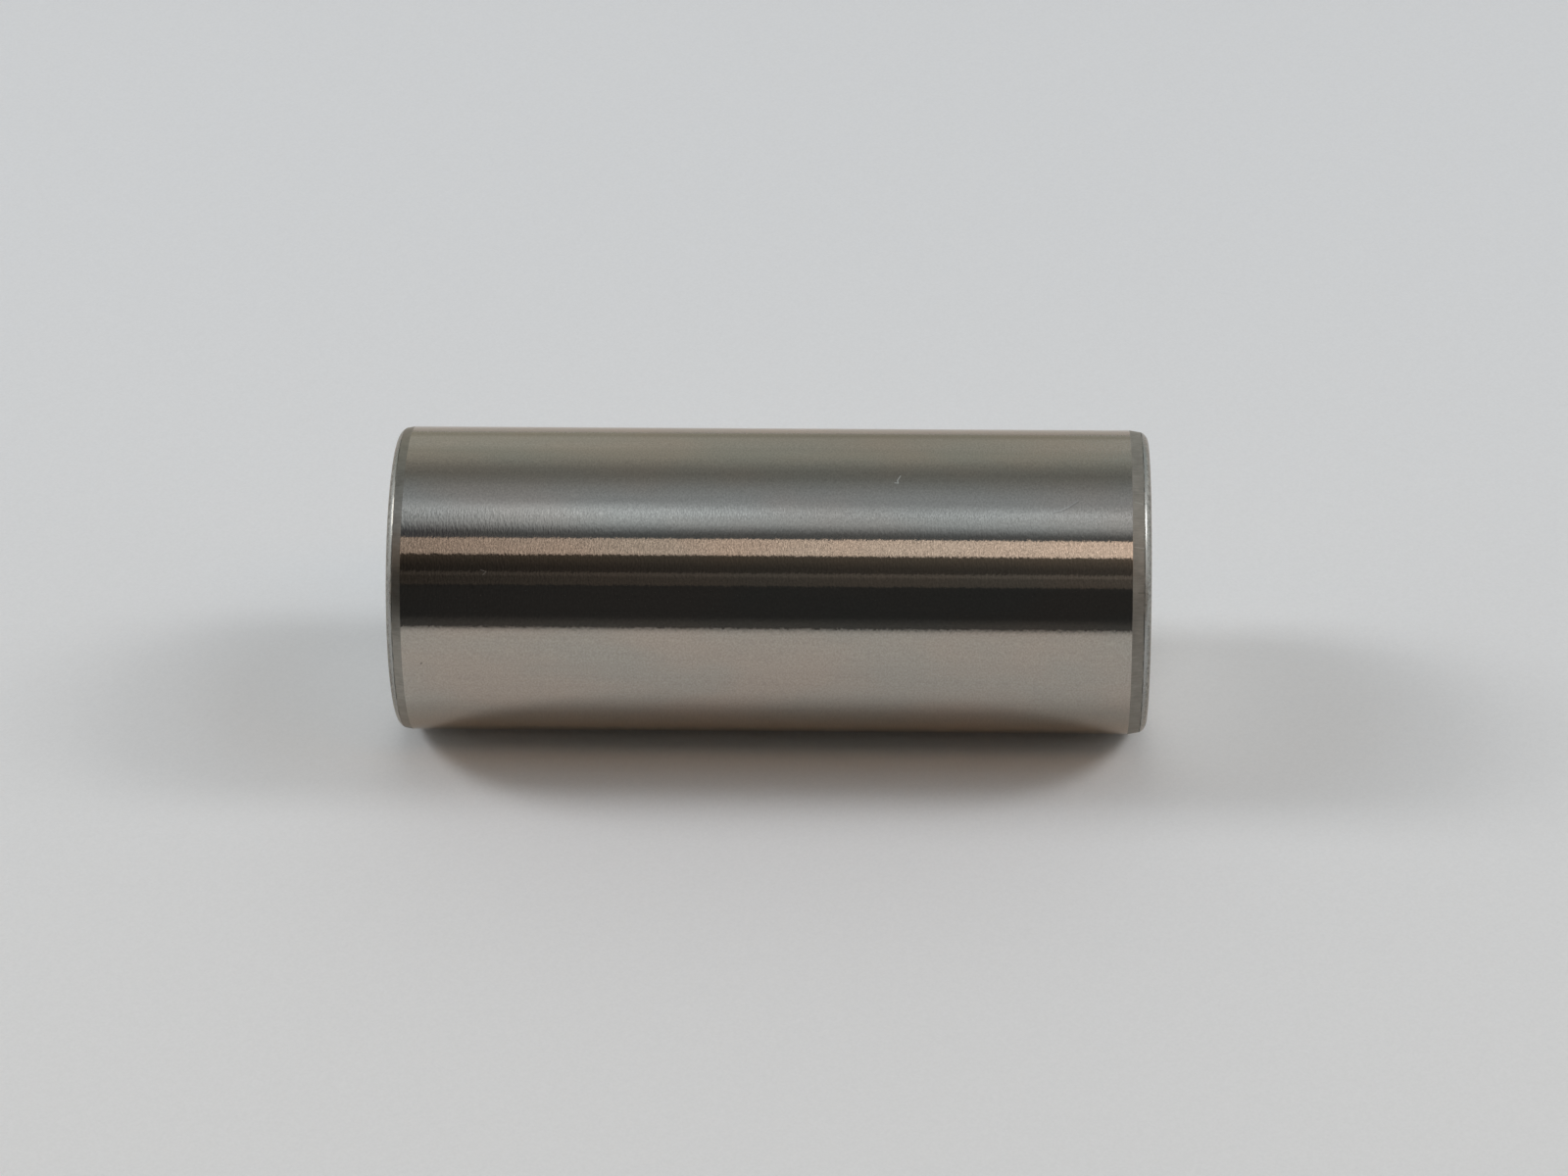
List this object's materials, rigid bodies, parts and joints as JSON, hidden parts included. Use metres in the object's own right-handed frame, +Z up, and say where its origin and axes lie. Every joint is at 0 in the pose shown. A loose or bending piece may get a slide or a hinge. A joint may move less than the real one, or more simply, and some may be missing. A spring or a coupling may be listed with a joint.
{
  "type": "crank pin",
  "caption": "Plain cylindrical crank pin for a pressed-up crankshaft, ground on its outside, with a short lead-in taper and a rounded edge at each end.",
  "frame": {"origin": "centre of the lower end face, on the pin's axis", "axes": "+Z up along the pin's axis; the pin is round, so X and Y are free; it stands on its lower end face"},
  "size_m": [0.02, 0.02, 0.0492],
  "materials": {
    "ground_steel": "hardened steel, ground and superfinished on the outside, with dull turned tapers, rounded edges and faced ends"
  },
  "bodies": {
    "root": {"crank_pin": "ground_steel"}
  },
  "joints": []
}
